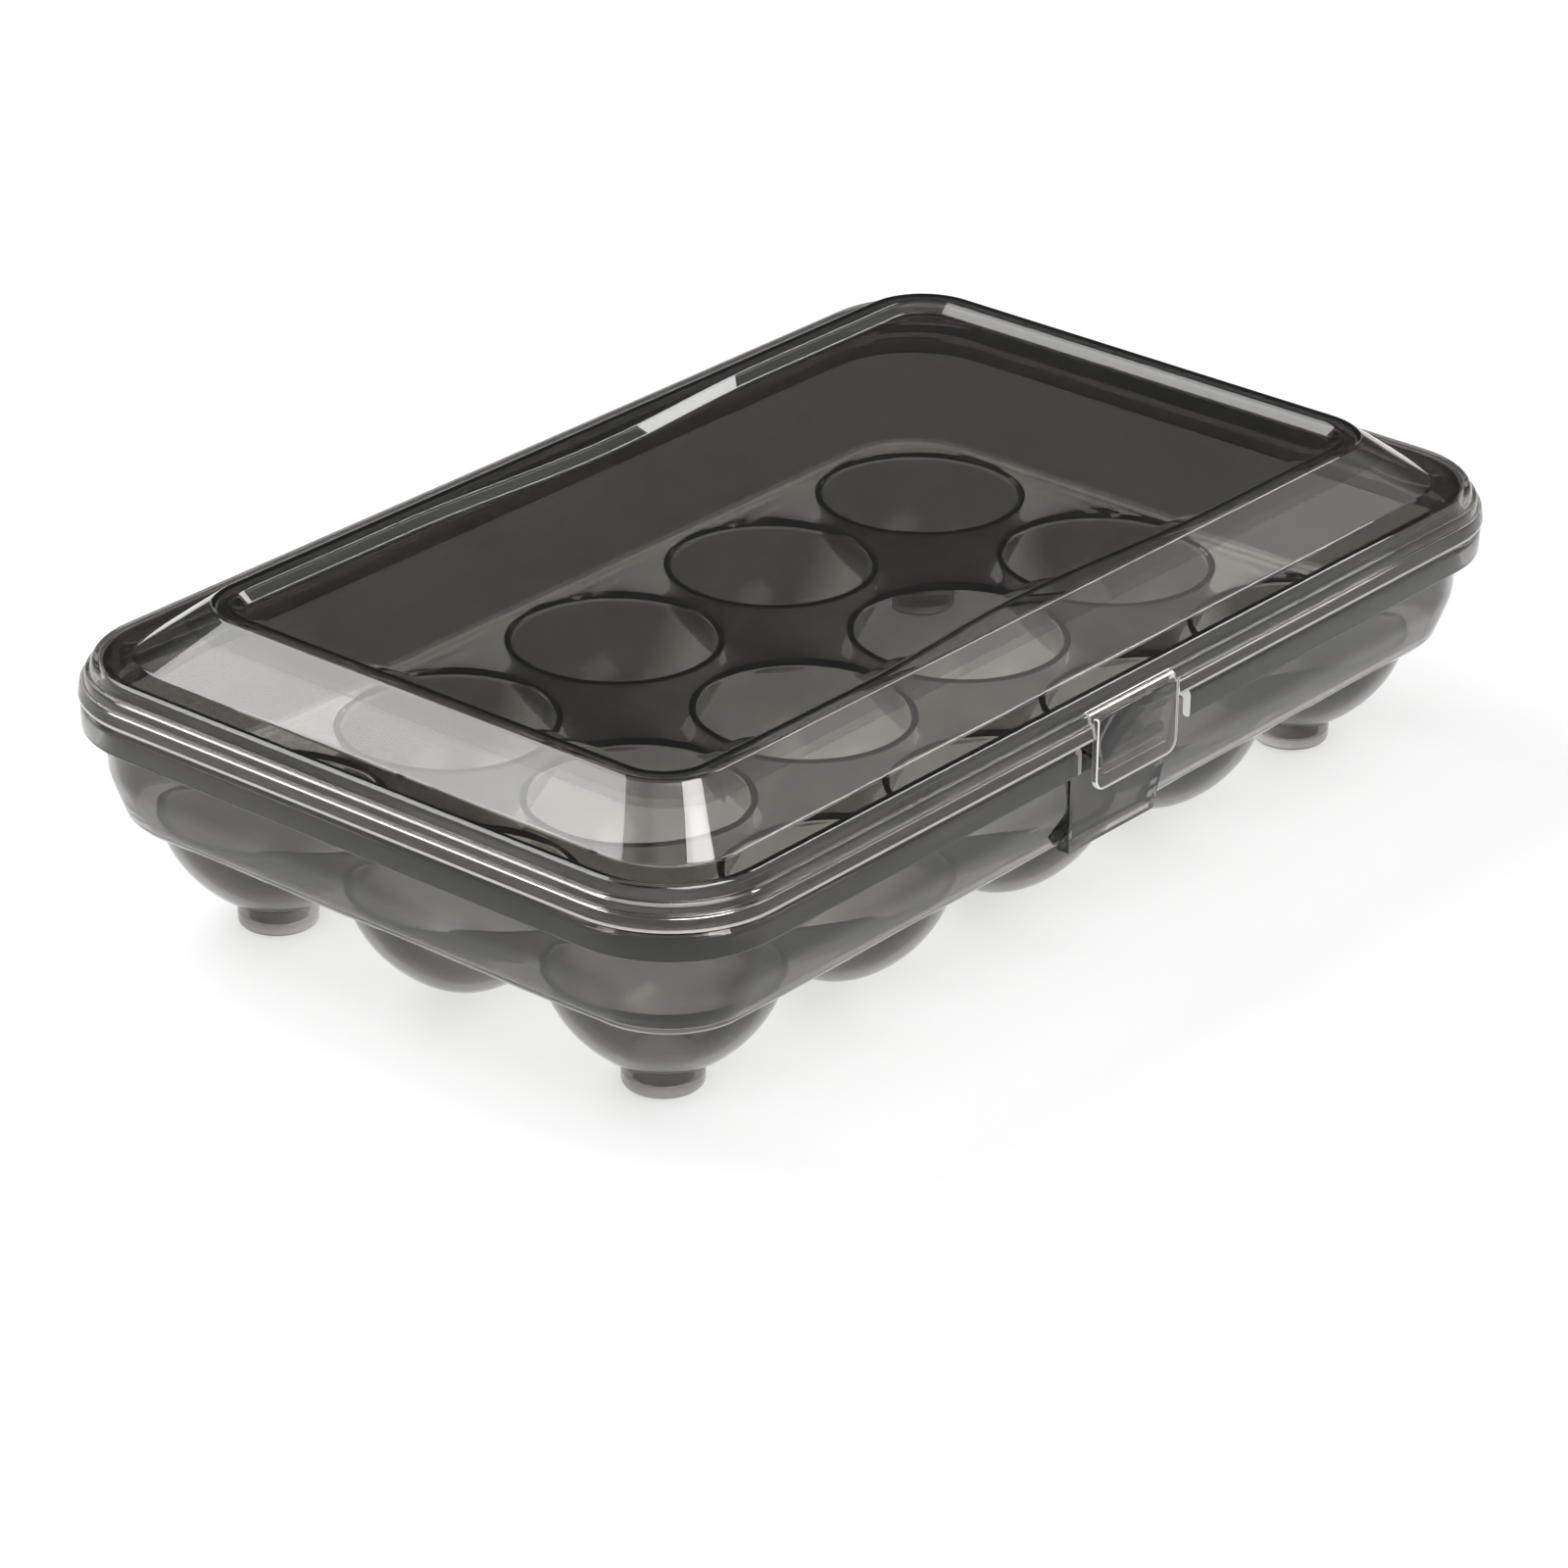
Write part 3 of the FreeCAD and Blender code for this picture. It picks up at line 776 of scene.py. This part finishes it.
class EggTrayStudio(bpy.types.PropertyGroup):
    """Floor, lights and camera."""
    floor_colour: FloatVectorProperty(
        name="Floor colour", description="Colour of the plain floor",
        subtype="COLOR", default=(0.93, 0.93, 0.93), min=0, max=1)
    azimuth: FloatProperty(
        name="Azimuth", description="Direction that the camera looks along, turned from +Y",
        subtype="ANGLE", default=math.radians(-50.393))
    elevation: FloatProperty(
        name="Elevation", description="Height of the camera above the horizon",
        subtype="ANGLE", default=math.radians(26.014))
    roll: FloatProperty(
        name="Roll", description="Turn of the camera about its own view",
        subtype="ANGLE", default=math.radians(0.779))
    distance: FloatProperty(
        name="Distance", description="From the camera to the object's middle",
        subtype="DISTANCE", default=1.3392)
    lens: FloatProperty(
        name="Lens", description="Focal length", subtype="DISTANCE_CAMERA", default=147.6)


# Operators

class EGGTRAY_OT_tray(bpy.types.Operator):
    """Model the tray with its cups, feet, rim and catch"""
    bl_idname = "eggtray.tray"
    bl_label = "Tray"

    def execute(self, context):
        looks = context.scene.egg_tray_plastic
        tray = model_tray()
        # The deck tint paints light onto the deck and the cups
        tray.data.materials.append(smoke_plastic(
            "tray_smoke_plastic", looks.tray_tint, looks.deck_painted_light, (DECK_BOTTOM, DECK_TOP),
            (AXIS_X, AXIS_Y), looks))
        # Paints highlights onto the cheeks of the notch
        paint_edge_highlights(tray, edge_highlight_paint(looks), is_notch_highlight)
        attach(tray, "tray")
        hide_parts(*frame["record"]["behaviour"]["bodies"]["tray"])
        return {"FINISHED"}


class EGGTRAY_OT_lid(bpy.types.Operator):
    """Model the lid with its recessed panel, slanted wall, flange and skirt"""
    bl_idname = "eggtray.lid"
    bl_label = "Lid"

    def execute(self, context):
        looks = context.scene.egg_tray_plastic
        lid = model_lid()
        # The panel tint paints shade onto the lid's flat top and crest
        lid.data.materials.append(smoke_plastic(
            "lid_smoke_plastic", looks.lid_tint, looks.panel_painted_shade, (PANEL_BOTTOM, CREST_TOP),
            NO_MIDDLE, looks))
        # Paints highlights onto the skirt's underside and the slot's cheeks
        paint_edge_highlights(lid, bpy.data.materials["painted_highlight_plastic"], is_skirt_highlight)
        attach(lid, "lid")
        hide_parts("lid_skirt", "lid_wall", "lid_panel")
        return {"FINISHED"}


class EGGTRAY_OT_tab(bpy.types.Operator):
    """Model the snap tab"""
    bl_idname = "eggtray.tab"
    bl_label = "Snap tab"

    def execute(self, context):
        tab = model_tab()
        tab.data.materials.append(bpy.data.materials["lid_smoke_plastic"])
        # Paints highlights onto the tab's rounded edges and tip
        paint_edge_highlights(tab, bpy.data.materials["painted_highlight_plastic"], is_tab_highlight)
        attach(tab, "tab")
        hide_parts("lid_tab")
        return {"FINISHED"}


# Stage

MIDDLE = Vector((0, 0, 0.04))         # what the lights and the camera aim at
AIM_SHIFT = (0.003818, 0.027445)      # how far the camera aims to the left of it and below it
SKY = (                               # direction, cosines at its edge and core, strengths there
    ((0.69, 0.60, 0.40), 0.60, 0.85, 1.14, 0.10),
    ((-0.38, 0.06, 0.92), 0.955, 0.985, 1.0, 0.08),
)
SOFTBOXES = (                         # name, direction, width, height, power, lights the floor
    ("softbox_left", (-0.15, 0.61, 0.77), 1.6, 0.88, 23, True),
    ("softbox_top", (0.0, -0.40, 0.915), 1.4, 0.8, 40, False),
    ("softbox_rim", (0.69, 0.0, 0.72), 0.36, 0.5, 5, False),
)
SOFTBOX_DISTANCE = 2.0


def studio_sky():
    """White surroundings with a darker wall behind the object and a dark gap between the softboxes."""
    world = bpy.data.worlds.new("studio")
    world.use_nodes = True
    tree = world.node_tree
    background = tree.nodes["Background"]
    background.inputs["Color"].default_value = (1, 1, 1, 1)
    coordinates = tree.nodes.new("ShaderNodeTexCoord")
    product = tree.nodes.new("ShaderNodeMath")
    product.operation = "MULTIPLY"
    for factor, (direction, edge, core, at_edge, at_core) in zip(product.inputs, SKY):
        toward = tree.nodes.new("ShaderNodeVectorMath")
        toward.operation = "DOT_PRODUCT"
        toward.inputs[1].default_value = Vector(direction).normalized()
        patch = tree.nodes.new("ShaderNodeMapRange")
        patch.interpolation_type = "SMOOTHSTEP"
        limits = {"From Min": edge, "From Max": core, "To Min": at_edge, "To Max": at_core}
        for socket, value in limits.items():
            patch.inputs[socket].default_value = value
        tree.links.new(coordinates.outputs["Generated"], toward.inputs[0])
        tree.links.new(toward.outputs["Value"], patch.inputs["Value"])
        tree.links.new(patch.outputs["Result"], factor)
    tree.links.new(product.outputs["Value"], background.inputs["Strength"])
    return world


def add_softbox(name, direction, width, height, power, lights_floor):
    """A soft rectangular light aimed at the middle from a direction."""
    bpy.ops.object.light_add(type="AREA")
    lamp = bpy.context.active_object
    lamp.name = name
    direction = Vector(direction).normalized()
    lamp.location = MIDDLE + direction * SOFTBOX_DISTANCE
    lamp.rotation_euler = (-direction).to_track_quat("-Z", "Y").to_euler()
    lamp.data.shape = "RECTANGLE"
    lamp.data.size = width
    lamp.data.size_y = height
    lamp.data.energy = power
    lamp.visible_diffuse = lights_floor


def add_camera(studio):
    """The camera, turned about the middle by its azimuth, elevation and roll."""
    azimuth, elevation, roll = studio.azimuth, studio.elevation, studio.roll
    flat = math.cos(elevation)
    back = Vector((math.sin(azimuth) * flat, -math.cos(azimuth) * flat, math.sin(elevation)))
    right = Vector((math.cos(azimuth), math.sin(azimuth), 0))
    up = back.cross(right)
    across = right * math.cos(roll) + up * math.sin(roll)
    upward = up * math.cos(roll) - right * math.sin(roll)
    aim = MIDDLE - across * AIM_SHIFT[0] - upward * AIM_SHIFT[1]
    data = bpy.data.cameras.new("camera")
    data.lens = studio.lens
    data.sensor_width = 36
    data.clip_start, data.clip_end = 0.05, 50
    camera = bpy.data.objects.new("camera", data)
    bpy.context.collection.objects.link(camera)
    turned = Matrix((across, upward, back)).transposed().to_4x4()
    camera.matrix_world = Matrix.Translation(aim + back * studio.distance) @ turned
    bpy.context.scene.camera = camera


class EGGTRAY_OT_stage(bpy.types.Operator):
    """Add the floor, the soft lights and the camera"""
    bl_idname = "eggtray.stage"
    bl_label = "Stage"

    def execute(self, context):
        studio = context.scene.egg_tray_studio
        bpy.ops.object.select_all(action="DESELECT")
        bpy.ops.mesh.primitive_plane_add(size=12, location=(0, 0, 0))
        floor = bpy.context.active_object
        floor.name = "floor"
        floor.data.materials.append(floor_finish(studio.floor_colour))
        context.scene.world = studio_sky()
        for softbox in SOFTBOXES:
            add_softbox(*softbox)
        add_camera(studio)
        context.scene.view_settings.view_transform = "Standard"
        return {"FINISHED"}


class EGGTRAY_PT_panel(bpy.types.Panel):
    """Sidebar panel with each step and the settings"""
    bl_label = "Egg Tray"
    bl_idname = "EGGTRAY_PT_panel"
    bl_space_type = "VIEW_3D"
    bl_region_type = "UI"
    bl_category = "Egg Tray"

    def draw(self, context):
        for step in STEPS:
            self.layout.operator(step.bl_idname)
        for group in (context.scene.egg_tray_plastic, context.scene.egg_tray_studio):
            box = self.layout.box()
            for key in group.__annotations__:
                box.prop(group, key)


STEPS = (EGGTRAY_OT_tray, EGGTRAY_OT_lid, EGGTRAY_OT_tab, EGGTRAY_OT_stage)
CLASSES = (EggTrayPlastic, EggTrayStudio, *STEPS, EGGTRAY_PT_panel)


def register():
    """Makes the settings, operators and panel known."""
    for item in CLASSES:
        bpy.utils.register_class(item)
    bpy.types.Scene.egg_tray_plastic = PointerProperty(type=EggTrayPlastic)
    bpy.types.Scene.egg_tray_studio = PointerProperty(type=EggTrayStudio)


def unregister():
    """Takes them away again."""
    del bpy.types.Scene.egg_tray_studio
    del bpy.types.Scene.egg_tray_plastic
    for item in reversed(CLASSES):
        bpy.utils.unregister_class(item)


def main():
    """Builds the whole scene."""
    register()
    bpy.ops.eggtray.tray()
    bpy.ops.eggtray.lid()
    bpy.ops.eggtray.tab()
    bpy.ops.eggtray.stage()


if __name__ == "__main__":
    main()
